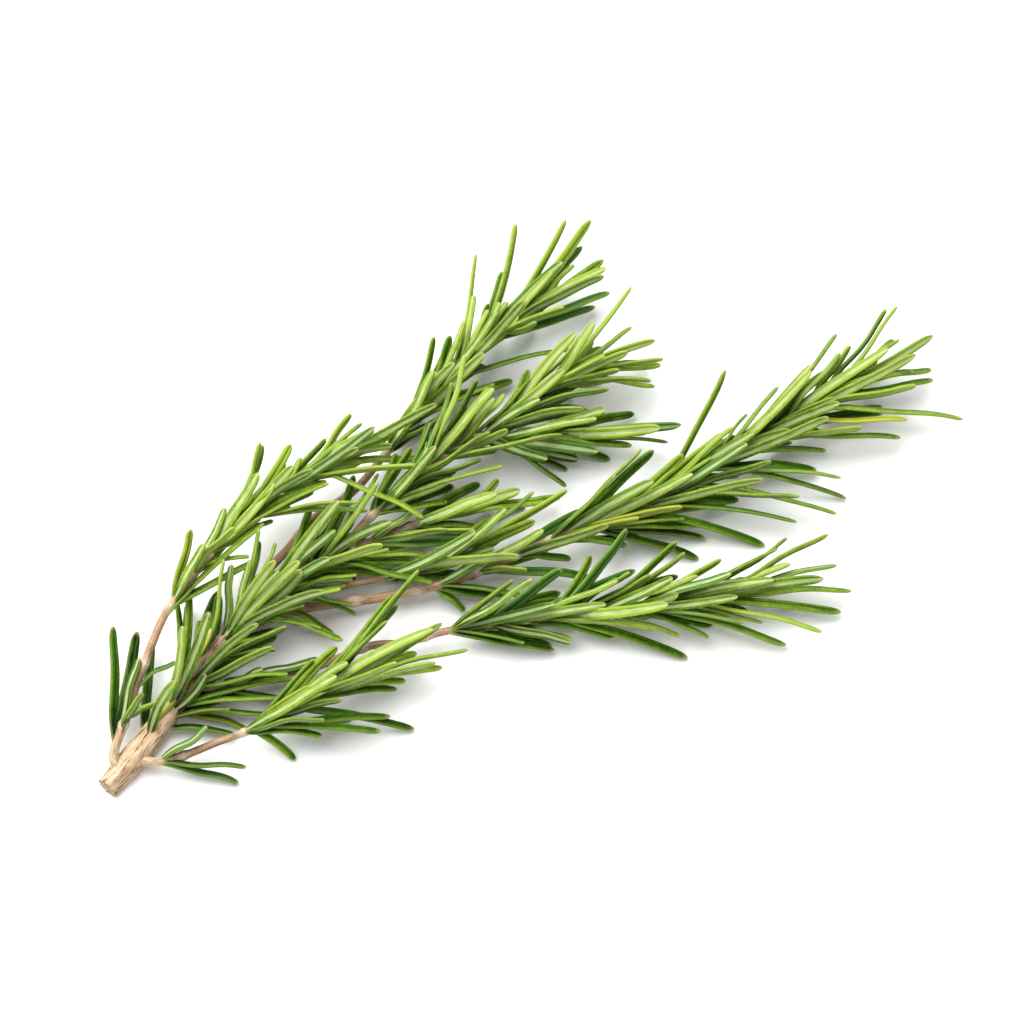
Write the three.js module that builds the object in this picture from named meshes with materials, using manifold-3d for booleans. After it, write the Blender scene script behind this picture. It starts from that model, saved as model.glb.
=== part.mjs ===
import * as THREE from 'three';
import Module from 'manifold-3d';

// A cut rosemary sprig that lies on a surface: a woody stem with seven leafy side shoots.
// Millimetres, Z up, X along the sprig from its cut end. The surface that it lies on is z = 0.

const wasm = await Module();
wasm.setup();

// Leaves: full sizes in millimetres, then shares of a leaf's length
const leafWidth = 2.7;
const leafThickness = 0.98;
const leafLength = 23;
const rootSink = 0.8;
const rootLean = 0.22;
const leafArch = 0.05;
const halfWay = 0.5;

// A leaf's three rings: how far along it each is, and its share of the full width
const leafRings = [[0, 0.45], [0.3, 1], [0.74, 0.92]];

// A leaf's upper face looks along its stem by faceLean, and where it is low by the stem it turns to the
// light: the lower it is under lightFrom, by as much as lightPull. Each leaf may twist by faceTwist radians.
const faceLean = 0.6;
const lightFrom = 0.6;
const lightPull = 1.2;
const faceTwist = 0.8;

// Leaves by rule at each joint: a pair across the stem and a smaller leaf between, as degrees round the
// stem and shares of the full length. Each joint turns from the last, and each leaf strays by a draw.
const joint = [[0, 0.85], [180, 0.85], [90, 0.6]];
const jointTurn = 70;
const strayRound = 50;
const strayOpen = 16;
const lengthFrom = 0.85;
const lengthSpread = 0.35;
const gapAtFoot = 1.15;
const gapAtTip = 0.8;

// Leaves of two shoots stay this far apart between their middle lines. Leaves of one shoot may touch,
// since they are fused, but those placed by rule past their roots keep this distance. A leaf that isn't
// clear is tried again, bent up or down by each of the bends.
const gapBetweenShoots = 2.8;
const gapWithinShoot = 2.3;
const freeRoot = 4;
const stemEase = 0.4;
const lowestLeaf = 0.3;
const clearSteps = 11;
const bends = [0, 1.5, -1.5, 3, -3, 4.5, -4.5, 6];

// Stems: rings in each span of a route, and the tension of the curve through its points
const stepsPerSpan = 2;
const routeTension = 0.5;

// Slivers along the joins that are finer than this are merged away
const smallestEdge = 0.03;

// The box of the whole sprig is centred on the origin by this shift in X and Y
const frameShift = [-1, 2];

const barkColour = '#a98a60';
const leafColour = '#5f8f2c';

// Each shoot is one node. Each of its stems has a route, radii spread evenly along it, a rule for its
// leaves (where they start, the gap between joints, how far they open at foot and tip, in degrees) and
// the leaves that make its outline: the x where the leaf starts, then its tip's x, y and z.
const shoots = [
  {
    name: 'woody_stem',
    sides: 8,
    colour: barkColour,
    stems: [
      {
        route: [
          [-98.5, -73, 2.3], [-91, -64, 2.7], [-83, -53, 4.4], [-75, -42, 6.5], [-66.5, -32, 8],
          [-55, -22, 9], [-44, -17, 9.5], [-35, -12.5, 9.5], [-25, -8, 9], [-15, -4.5, 8.5],
        ],
        radius: [2.5, 3.2, 2.5, 2, 1.8, 1.6, 1.4, 1.2, 1, 0.9],
        rule: { from: 16, gap: 7, open: [36, 18], seed: 3 },
        leaves: [
          [-87, -74.5, -37, 12], [-73, -59, -23, 14], [-65.5, -46, -12.5, 13.5], [-80, -80, -26, 9.5],
          [-80.5, -83.5, -26.5, 8.5], [-77, -73, -31, 10], [-74, -59, -33, 2.5], [-84.5, -70, -55.5, 8],
          [-84, -59, -55, 3], [-83.5, -66, -58, 1.5], [-86, -69, -59.5, 2.5], [-37, -20, -12, 12.5],
          [-38, -14, -11, 5], [-21, 6.5, 0, 5], [-24, -3, -0.5, 10], [-71, -53, -31, 12],
          [-74, -58.5, -35.5, 9], [-77, -57, -37, 13.5], [-75, -59.5, -41.5, 10.5], [-80, -56.5, -48, 11],
          [-82, -55, -47, 6.5], [-84, -75.5, -48, 11], [-82.5, -54, -52, 5.5], [-79, -77.5, -33, 8],
          [-76, -66.5, -28.5, 6], [-64, -43.5, -25.5, 11], [-58, -42, -23, 8.5], [-69, -63.5, -15, 14],
          [-66, -60, -15.5, 13], [-60, -52, -5, 10], [-57, -47.5, -4, 8.5], [-52, -42, 4.5, 7.5],
          [-50, -33, -11, 10.5], [-47, -23.5, -24, 9], [-43, -20.5, -16, 6.5], [-33, -13.5, -12, 10.5],
          [-59, -41, -31, 6.5], [-60, -41.5, -30.5, 9], [-66, -49, -37, 12], [-62, -46.5, -35, 4.5],
          [-66, -44, -40, 6],
        ],
      },
    ],
  },
  {
    name: 'left_shoot',
    sides: 6,
    colour: leafColour,
    stems: [
      {
        route: [
          [-96.6, -65.2, 5], [-94, -57, 6.5], [-92, -50, 8], [-90, -45, 9.5], [-85, -33, 12.5],
          [-79, -25, 14.5], [-72, -15.5, 16], [-64, -7.5, 16.5], [-55, -1, 16], [-45, 5.5, 15],
        ],
        radius: [1.1, 0.9, 0.6],
        rule: { from: 38, gap: 8, open: [22, 11], seed: 7 },
        leaves: [
          [-96.1, -97.5, -34.5, 8], [-96, -92, -35, 6], [-95.5, -91, -44, 11], [-95, -90, -52, 9],
          [-94, -87.5, -54.5, 9], [-92, -82.5, -45.5, 11], [-85.5, -62.5, -12.5, 19], [-84, -65, -20, 12],
          [-77, -66, -19.5, 15.5], [-55, -26.5, 2, 18], [-72, -47.5, -3, 19], [-68, -41, -8, 19],
          [-51, -25.5, -10, 14.5], [-70, -56, 1, 20], [-60, -40, 13.5, 17], [-54, -22.5, 19.5, 15],
          [-52, -32, 13.5, 13], [-50, -33, 8, 16.5], [-62, -54, 3.5, 19], [-68, -38.5, -8, 13],
        ],
      },
    ],
  },
  {
    name: 'top_shoot',
    sides: 6,
    colour: leafColour,
    stems: [
      {
        route: [
          [-66.9, -27.9, 8], [-63, -21, 6.5], [-57, -13, 5], [-51, -5, 4.5], [-42, 2, 4.5],
          [-35.5, 10.5, 4.5], [-30, 18, 5], [-25, 23.5, 6], [-19, 30, 7], [-13.5, 37.5, 8], [-8, 41, 8.5],
          [-2.5, 45, 9],
        ],
        radius: [1.1, 0.9, 0.6],
        rule: { from: 60, gap: 8, open: [22, 11], seed: 11 },
        leaves: [
          [-19, -13.5, 61, 12], [-18, -14, 49, 13.5], [-17, -10.5, 48.5, 10], [-12, -4, 68.5, 13],
          [-8, 8, 69.5, 13], [-5, 14, 71, 10], [-8, 12, 65.5, 7], [-6, 17, 60, 10.5], [-10, 17.5, 56, 14],
          [-7, 18.5, 52.5, 8], [-11, 15, 52, 1.5], [-11, 1, 43, 11], [-19, 11, 38, 7],
          [-27, -19.5, 40.5, 9], [-12, -6, 47.5, 13], [-66.5, -64, -13.5, 11], [-3, 10, 58, 12],
          [-4, 7.5, 60, 8],
        ],
      },
    ],
  },
  {
    name: 'centre_shoot',
    sides: 6,
    colour: leafColour,
    stems: [
      {
        route: [
          [-42, -13.2, 10.3], [-38, -8, 11], [-32, -3, 11.5], [-26.5, 3.5, 11.5], [-19.5, 9, 11.5],
          [-12.5, 13, 11], [-7, 17, 11], [1, 24, 11], [8, 28.5, 11], [13.5, 31, 11],
        ],
        radius: [1, 0.8, 0.6],
        rule: { from: 12, gap: 8, open: [24, 12], seed: 19 },
        leaves: [
          [-27, -19, 23.5, 17], [-26, -13, 27, 13], [-23, -10.5, 23.5, 15.5], [-19, -9, 20, 17],
          [-31, -24, 15, 14], [-33, -7, 3.5, 14.5], [-26, 7, 12, 14], [-10, 12, 18, 15.5],
          [-5, 11.5, 38.5, 13], [3, 23.5, 41, 12.5], [4, 29, 36.5, 14.5], [1, 22.5, 32.5, 16.5],
          [8, 31, 33, 11.5], [5, 28, 27, 12], [0, 20.5, 28.5, 15], [6, 29, 27.5, 8], [-6, 18, 23, 16],
          [7, 30.5, 33.5, 7.5], [-29, -24.5, 10.5, 13], [-29, -19.5, 13, 13], [-25, -13.5, 18, 14],
          [-21, -11.5, 19, 10.5], [-38, -32, 8.5, 11], [-37, -28.5, 9.5, 12],
        ],
      },
      {
        route: [
          [-12.5, 13, 11], [-5, 13, 8.5], [3, 15, 7.5], [11, 16, 7.5],
        ],
        radius: [0.8, 0.55],
        rule: { from: 4, gap: 7, open: [22, 11], seed: 23 },
        leaves: [
          [-10, 15.5, 9, 11], [-12, 11, 10, 4.5], [-12.4, 3.5, 7.5, 10], [5, 35, 16, 11], [4, 30, 14, 13.5],
          [3, 27, 15.5, 7.5], [2, 32, 14.5, 4.5],
        ],
      },
    ],
  },
  {
    name: 'inner_shoot',
    sides: 6,
    colour: leafColour,
    stems: [
      {
        route: [
          [-54.9, -24.6, 7.1], [-48, -24, 5.5], [-41, -22.5, 5.5], [-33, -21, 6], [-24, -19.5, 7.5],
          [-15, -15.5, 9], [-8, -11, 9.5],
        ],
        radius: [0.9, 0.7, 0.55],
        rule: { from: 22, gap: 7, open: [22, 11], seed: 29 },
        leaves: [
          [-16, 8, -2, 13], [-22, 0.5, -9, 11], [-28, -9, -16.5, 12],
        ],
      },
    ],
  },
  {
    name: 'right_shoot',
    sides: 6,
    colour: leafColour,
    stems: [
      {
        route: [
          [-62.6, -32.3, 6.6], [-55, -29, 5], [-48, -27.5, 4.5], [-37, -26, 4.5], [-21.5, -23, 6],
          [-12.5, -20, 7], [-3, -16, 8], [9, -10.5, 8.5], [18, -7.5, 8.5], [28, -3.5, 8.5], [39, 4.5, 8.5],
          [51, 12.5, 8.5], [63.5, 20.5, 9], [74.5, 28, 9], [79, 31, 9],
        ],
        radius: [1.25, 0.9, 0.6],
        rule: { from: 42, gap: 9, open: [22, 11], seed: 31 },
        leaves: [
          [-13, 2.5, -13, 14.5], [-12, 3.5, -13, 3], [-21, 0, -27.5, 8], [-23, -5.5, -24, 3],
          [-23, -16, -28, 2], [-12, 13.5, -20.5, 4], [5, 25.5, 9, 12.5], [8, 28.5, 10.5, 8.5],
          [27, 45.5, 29, 14], [24, 47, 13, 16], [22, 45, 14, 10.5], [9, 37.5, 1.5, 14.5],
          [24, 54, 0.5, 13.5], [9, 35, -6, 12.5], [10, 35.5, -7.5, 9], [13, 41, -6.5, 4.5],
          [10, 40.5, -9, 1.5], [29, 62.5, -2.5, 10.5], [28, 62, -7, 6], [35, 71.5, -4, 4],
          [40, 72.5, 3.5, 8], [42, 74, 1.5, 1], [41, 67, 8, 3], [46, 69.5, 13, 3], [53, 87, 15, 6],
          [64, 102, 20.5, 4.5], [58, 88.5, 18, 9.5], [50, 77.5, 14.5, 12.5], [39, 69.5, 15.5, 16],
          [52, 72, 38.5, 14], [50, 66, 29.5, 15.5], [67, 84, 45.5, 13], [66, 95, 39.5, 11],
          [60, 90.5, 32.5, 15], [67, 95, 29.5, 7.5], [64, 90.5, 25.5, 12.5], [12, 39, -14, 0.6],
          [24, 54.5, -10.5, 0.6], [-60, -48, -34, 2], [56, 87, 38, 12], [58, 84, 34, 15], [46, 62, 24, 15],
          [33, 52, 12, 15], [30, 56, 6, 12], [18, 42, 6, 14],
        ],
      },
    ],
  },
  {
    name: 'low_right_shoot',
    sides: 6,
    colour: leafColour,
    stems: [
      {
        route: [
          [-75.1, -48.2, 4.8], [-66.5, -47, 4], [-55, -44.5, 4], [-46.5, -41.5, 4], [-38, -38, 4.5],
          [-30, -37.5, 5], [-21.5, -35, 5.5], [-12.5, -33.5, 6], [-3, -32.5, 6.5], [7, -31.5, 7],
          [17.5, -30.5, 7.5], [27.5, -29, 7.5], [37.5, -27.5, 7.5], [47.5, -25, 7.5],
        ],
        radius: [1.15, 0.9, 0.6],
        rule: { from: 58, gap: 9, open: [22, 11], seed: 37 },
        leaves: [
          [-11, 17, -31, 12.5], [13, 33.5, -15, 12.5], [11, 27.5, -23, 11.5], [18, 47.5, -29.5, 13.5],
          [31, 57, -17, 13], [24, 44, -17.5, 8], [43, 69, -12, 10], [41, 71, -19, 8],
          [38, 67.5, -24.5, 12.5], [42, 74.5, -24, 4.5], [40, 72, -28.5, 2.5], [35, 67, -36.5, 9],
          [22, 49, -34, 8.5], [27, 59, -37, 2.5], [1, 28.5, -36, 9.5], [5, 36, -39.5, 1], [-20, 5, -38, 2],
          [-14, 6.5, -23.5, 4], [3, 20, -23, 9.5], [5, 22, -11, 5], [4, 13.5, -16.5, 6.5],
          [-74, -55, -51, 2.5], [-68, -49.5, -43, 8], [-72, -62.5, -45.5, 8], [-70, -50, -40.5, 3],
          [-2, 24, -18, 3], [10, 34, -20, 4], [34, 60, -20, 11], [30, 56, -25, 13], [24, 50, -24, 11],
        ],
      },
    ],
  },
  {
    name: 'short_shoot',
    sides: 6,
    colour: leafColour,
    stems: [
      {
        route: [
          [-87.5, -67, 4], [-80.5, -65.5, 4.5], [-73, -63, 6], [-66, -60.5, 7], [-58, -56, 8],
          [-51, -52.5, 8.5], [-43, -47.5, 9],
        ],
        radius: [1.05, 0.8, 0.6],
        rule: { from: 24, gap: 8, open: [24, 12], seed: 41 },
        leaves: [
          [-55, -33, -27.5, 9.5], [-49, -26.5, -22, 12], [-50, -21, -36, 13], [-52, -23, -38.5, 15.5],
          [-48, -15, -42, 11.5], [-51, -22.5, -46, 13], [-46, -21, -45, 8], [-52, -31.5, -48.5, 3.5],
          [-62, -44, -55, 12.5], [-64, -33, -56, 5], [-56, -27.5, -57.5, 1], [-64, -35, -61.5, 9],
          [-86, -66, -68.5, 4.5], [-65, -55, -65, 0.6], [-86, -75, -60.5, 9.5], [-86.5, -68, -71, 1],
          [-47, -29.5, -47.5, 6], [-45, -27, -40, 5], [-49, -31.5, -29.5, 9],
        ],
      },
    ],
  },
];

const up = new THREE.Vector3(0, 0, 1);
const vector = (values) => new THREE.Vector3(...values);
const mix = (a, b, t) => a + (b - a) * t;

// Seeded draws between 0 and 1
function makeDraw(seed) {
  let count = 0;
  return () => {
    count += 1;
    const value = Math.sin(seed * 12.9898 + count * 78.233) * 43758.5453;
    return value - Math.floor(value);
  };
}

// A stem's middle line as points, with the length run at each of them
function makeStem({ route, radius, rule, leaves }) {
  const curve = new THREE.CatmullRomCurve3(route.map(vector), false, 'catmullrom', routeTension);
  const points = curve.getPoints((route.length - 1) * stepsPerSpan);
  const stations = [0];
  for (let i = 1; i < points.length; i += 1) {
    stations.push(stations[i - 1] + points[i].distanceTo(points[i - 1]));
  }
  return { points, stations, length: stations[stations.length - 1], radius, rule, leaves };
}

function stemRadius(stem, station) {
  const spans = stem.radius.length - 1;
  const place = spans * station / stem.length;
  const i = Math.min(spans - 1, Math.floor(place));
  return mix(stem.radius[i], stem.radius[i + 1], place - i);
}

// The place on a stem's middle line where one of its values, its station or its x, reaches a number
function placeOnStem(stem, values, number) {
  let i = 1;
  while (i < values.length - 1 && values[i] < number) {
    i += 1;
  }
  const share = Math.min(1, Math.max(0, (number - values[i - 1]) / (values[i] - values[i - 1])));
  const point = stem.points[i - 1].clone().lerp(stem.points[i], share);
  const along = stem.points[i].clone().sub(stem.points[i - 1]).normalize();
  const station = mix(stem.stations[i - 1], stem.stations[i], share);
  return { point, along, radius: stemRadius(stem, station), share: station / stem.length };
}

// A leaf's middle line leans along its stem at the root, arches a little and then swings out to its tip
function makeLeaf(place, tip, twist) {
  const out = tip.clone().sub(place.point);
  out.addScaledVector(place.along, -out.dot(place.along)).normalize();
  const root = place.point.clone().addScaledVector(out, Math.max(0, place.radius - rootSink));
  const reach = tip.clone().sub(root);
  const length = reach.length();
  const start = reach.normalize().addScaledVector(place.along, rootLean).normalize();
  const control = root.clone().addScaledVector(start, length * halfWay);
  control.addScaledVector(up, length * leafArch);
  return { root, control, tip, out, along: place.along, length, twist };
}

// A leaf lies down on the surface where its line would run under it
function bendLeaf(leaf, lift) {
  const tip = leaf.tip.clone();
  const control = leaf.control.clone();
  tip.z = Math.max(lowestLeaf, tip.z + lift);
  control.z = Math.max(lowestLeaf, control.z + lift * halfWay);
  return { ...leaf, tip, control };
}

// Leaves by rule: a pair at each joint of the stem, turned from the pair below, and a smaller leaf between
function ruleLeaves(stem) {
  const draw = makeDraw(stem.rule.seed);
  const [openFoot, openTip] = stem.rule.open;
  const leaves = [];
  let station = stem.rule.from;
  let turn = 0;
  while (station < stem.length) {
    const place = placeOnStem(stem, stem.stations, station);
    const side = up.clone().cross(place.along).normalize();
    const lift = place.along.clone().cross(side);
    for (const [aside, size] of joint) {
      const turned = THREE.MathUtils.degToRad(turn + aside + (draw() - 0.5) * strayRound);
      const opened = mix(openFoot, openTip, place.share) + (draw() - 0.5) * strayOpen;
      const open = THREE.MathUtils.degToRad(opened);
      const length = leafLength * size * (lengthFrom + draw() * lengthSpread);
      const out = side.clone().multiplyScalar(Math.cos(turned)).addScaledVector(lift, Math.sin(turned));
      const tip = place.point.clone()
        .addScaledVector(place.along, Math.cos(open) * length)
        .addScaledVector(out, Math.sin(open) * length + place.radius);
      leaves.push(makeLeaf(place, tip, draw() - 0.5));
    }
    station += stem.rule.gap * mix(gapAtFoot, gapAtTip, place.share);
    turn += jointTurn;
  }
  return leaves;
}

function leafLine(leaf, count) {
  return new THREE.QuadraticBezierCurve3(leaf.root, leaf.control, leaf.tip).getPoints(count);
}

// Space already taken, as points with the shoot they belong to and how far round them is full
const taken = [];

function isClear(leaf, shoot, ownGap) {
  return leafLine(leaf, clearSteps).every((point, i) => {
    const nearRoot = i * leaf.length / clearSteps < freeRoot;
    return taken.every((other) => {
      const own = other.shoot === shoot;
      if (own && (nearRoot || other.isStem || other.nearRoot)) {
        return true;
      }
      const gap = own ? ownGap : gapBetweenShoots + other.radius;
      return point.distanceTo(other.point) >= gap;
    });
  });
}

// The leaf is bent up or down until it is clear of what is there, and is left out if it can't be
function placeLeaf(leaf, shoot, ownGap) {
  const fit = bends.map((lift) => bendLeaf(leaf, lift)).find((bent) => isClear(bent, shoot, ownGap));
  if (fit) {
    shoot.placed.push(fit);
    leafLine(fit, clearSteps).forEach((point, i) => {
      const nearRoot = i * fit.length / clearSteps < freeRoot;
      taken.push({ point, shoot, radius: 0, isStem: false, nearRoot });
    });
  }
}

const plants = shoots.map((shoot) => ({ ...shoot, stems: shoot.stems.map(makeStem), placed: [] }));
for (const shoot of plants) {
  for (const stem of shoot.stems) {
    stem.points.forEach((point, i) => {
      const radius = stemRadius(stem, stem.stations[i]) - stemEase;
      taken.push({ point, shoot, radius, isStem: true, nearRoot: false });
    });
  }
}
for (const shoot of plants) {
  for (const stem of shoot.stems) {
    for (const [startX, ...tip] of stem.leaves) {
      const place = placeOnStem(stem, stem.points.map((point) => point.x), startX);
      placeLeaf(makeLeaf(place, vector(tip), 0), shoot, 0);
    }
  }
}
for (const shoot of plants) {
  for (const stem of shoot.stems) {
    for (const leaf of ruleLeaves(stem)) {
      placeLeaf(leaf, shoot, gapWithinShoot);
    }
  }
}

// A closed solid through rings of points, with a flat start and a flat or pointed end
function loft(rings, point) {
  const sides = rings[0].length;
  const vertices = rings.flat().concat(point ? [point] : []);
  const last = (rings.length - 1) * sides;
  const faces = [];
  for (let ring = 0; ring < rings.length - 1; ring += 1) {
    for (let k = 0; k < sides; k += 1) {
      const a = ring * sides + k;
      const b = ring * sides + (k + 1) % sides;
      faces.push(a, b, b + sides, a, b + sides, a + sides);
    }
  }
  for (let k = 1; k < sides - 1; k += 1) {
    faces.push(0, k + 1, k);
  }
  for (let k = 0; point && k < sides; k += 1) {
    faces.push(last + k, last + (k + 1) % sides, vertices.length - 1);
  }
  for (let k = 1; !point && k < sides - 1; k += 1) {
    faces.push(last, last + k, last + k + 1);
  }
  return new wasm.Manifold(new wasm.Mesh({
    numProp: 3,
    vertProperties: new Float32Array(vertices.flatMap((v) => [v.x, v.y, Math.max(0, v.z)])),
    triVerts: new Uint32Array(faces),
  }));
}

function stemSolid(stem, sides) {
  const rings = stem.points.map((point, i) => {
    const next = stem.points[Math.min(i + 1, stem.points.length - 1)];
    const along = next.clone().sub(stem.points[Math.max(0, i - 1)]).normalize();
    const side = up.clone().cross(along).normalize();
    const lift = along.clone().cross(side);
    const radius = stemRadius(stem, stem.stations[i]);
    return Array.from({ length: sides }, (_, k) => {
      const angle = (k + 0.5) * 2 * Math.PI / sides;
      return point.clone()
        .addScaledVector(side, Math.cos(angle) * radius)
        .addScaledVector(lift, Math.sin(angle) * radius);
    });
  });
  return loft(rings, null);
}

// A leaf's dark upper face looks along its stem, and leaves beside or under the stem turn it to the light
function leafFace(leaf, along) {
  const light = Math.min(1, Math.max(0, lightFrom - leaf.out.z)) * lightPull;
  const face = leaf.along.clone().multiplyScalar(faceLean).sub(leaf.out).addScaledVector(up, light);
  face.addScaledVector(along, -face.dot(along)).normalize();
  return face.applyAxisAngle(along, leaf.twist * faceTwist);
}

// Three sides: a flat pale underside and an upper face with a ridge
function leafSolid(leaf) {
  const curve = new THREE.QuadraticBezierCurve3(leaf.root, leaf.control, leaf.tip);
  const rings = leafRings.map(([t, size]) => {
    const along = curve.getTangent(t);
    const face = leafFace(leaf, along);
    const side = face.clone().cross(along);
    const halfWidth = leafWidth * size / 2;
    const halfThickness = leafThickness * size / 2;
    return [[-1, -1], [1, -1], [0, 1]].map(([across, high]) => curve.getPoint(t)
      .addScaledVector(side, across * halfWidth)
      .addScaledVector(face, high * halfThickness));
  });
  return loft(rings, leaf.tip);
}

// The biggest body of the fused shoot: sealed hollows and loose scraps are dropped
function biggestBody(solid) {
  return solid.decompose().reduce((best, body) => (body.volume() > best.volume() ? body : best));
}

function shootMesh(shoot) {
  const stems = shoot.stems.map((stem) => stemSolid(stem, shoot.sides));
  const solid = wasm.Manifold.union([...stems, ...shoot.placed.map(leafSolid)]);
  const { vertProperties, triVerts } = biggestBody(solid).simplify(smallestEdge).getMesh();
  const geometry = new THREE.BufferGeometry();
  geometry.setAttribute('position', new THREE.BufferAttribute(vertProperties, 3));
  geometry.setIndex(new THREE.BufferAttribute(triVerts, 1));
  geometry.computeVertexNormals();
  const material = new THREE.MeshStandardMaterial({ color: shoot.colour, roughness: 0.6, metalness: 0 });
  const mesh = new THREE.Mesh(geometry, material);
  mesh.name = shoot.name;
  mesh.position.set(frameShift[0], frameShift[1], 0);
  return mesh;
}

const sprig = new THREE.Group();
sprig.add(...plants.map(shootMesh));

export default sprig;
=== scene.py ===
import math

import bpy
import numpy as np
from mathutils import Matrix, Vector


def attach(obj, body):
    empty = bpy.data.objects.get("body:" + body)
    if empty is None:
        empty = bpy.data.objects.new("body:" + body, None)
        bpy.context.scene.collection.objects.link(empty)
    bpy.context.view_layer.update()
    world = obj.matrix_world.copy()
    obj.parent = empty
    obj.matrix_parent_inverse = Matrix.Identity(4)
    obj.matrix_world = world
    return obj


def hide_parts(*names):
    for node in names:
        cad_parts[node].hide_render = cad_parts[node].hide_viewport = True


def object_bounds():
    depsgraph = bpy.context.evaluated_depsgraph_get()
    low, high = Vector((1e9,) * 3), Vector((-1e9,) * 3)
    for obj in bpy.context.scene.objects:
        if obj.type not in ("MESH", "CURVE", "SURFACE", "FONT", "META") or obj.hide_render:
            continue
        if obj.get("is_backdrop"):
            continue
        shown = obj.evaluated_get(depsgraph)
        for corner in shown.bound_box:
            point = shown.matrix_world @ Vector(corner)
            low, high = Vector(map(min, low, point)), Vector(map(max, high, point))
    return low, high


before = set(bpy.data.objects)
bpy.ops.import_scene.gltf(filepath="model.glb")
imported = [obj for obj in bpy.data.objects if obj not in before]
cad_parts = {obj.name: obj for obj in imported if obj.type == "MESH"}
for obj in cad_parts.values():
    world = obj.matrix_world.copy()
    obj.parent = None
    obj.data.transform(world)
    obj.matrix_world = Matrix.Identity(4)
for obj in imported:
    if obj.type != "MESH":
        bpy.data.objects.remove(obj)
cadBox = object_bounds()

mm = 0.001
up = np.array([0.0, 0.0, 1.0])

# The sprig's layout in millimetres, the same as the solids have. Each stem has its route, radii spread
# evenly along it, where its leaves by rule start and where it is filled, and the leaves of its outline:
# the x where the leaf starts, then its tip's x, y and z.
sprig = {
    "shift": (-1.0, 2.0),
    "leafWidth": 2.7,
    "leafThickness": 0.98,
    "leafLength": 23.0,
    "rootSink": 0.8,
    "rootLean": 0.22,
    "leafArch": 0.05,
    "lowestLeaf": 0.3,
    "freeRoot": 4.0,
    "stemEase": 0.4,
    "bends": (0, 1.5, -1.5, 3, -3, 4.5, -4.5, 6),
    "halfWay": 0.5,
    "clearPoints": 12,
    "clearReach": 8.0,
    "stepsPerSpan": 2,
    "faceLean": 0.6,
    "lightFrom": 0.6,
    "lightPull": 1.2,
    "faceTwist": 0.8,
}

# Leaves by rule at each joint: a pair across the stem and a smaller leaf between, as degrees round the
# stem and shares of the full length. Each joint turns from the last, and each leaf strays by a draw.
leafRule = {
    "joint": ((0, 0.85), (180, 0.85), (90, 0.6)),
    "turn": 70,
    "strayRound": 50,
    "strayOpen": 16,
    "lengthFrom": 0.85,
    "lengthSpread": 0.35,
    "gapShares": (1.15, 0.8),
}

# Rounds of leaves: how far apart they stay within a shoot and between shoots, and for leaves by rule how
# wide they spread and how long they are. The solids have the first two. Then come the traced leaves that
# the solids had no room for, and finer filling along the part of each stem that its "fill" gives.
rounds = (
    {"leaves": "traced", "within": 0.0, "between": 2.8},
    {"leaves": "rule", "within": 2.3, "between": 2.8, "spread": 1.0, "size": 1.0, "seed": 0},
    {"leaves": "traced", "within": 0.0, "between": 1.2},
    {"leaves": "fill", "within": 1.5, "between": 1.7, "spread": 1.3, "size": 1.2, "seed": 83},
    {"leaves": "fill", "within": 1.3, "between": 1.5, "spread": 1.1, "size": 1.15, "seed": 101},
)

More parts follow.
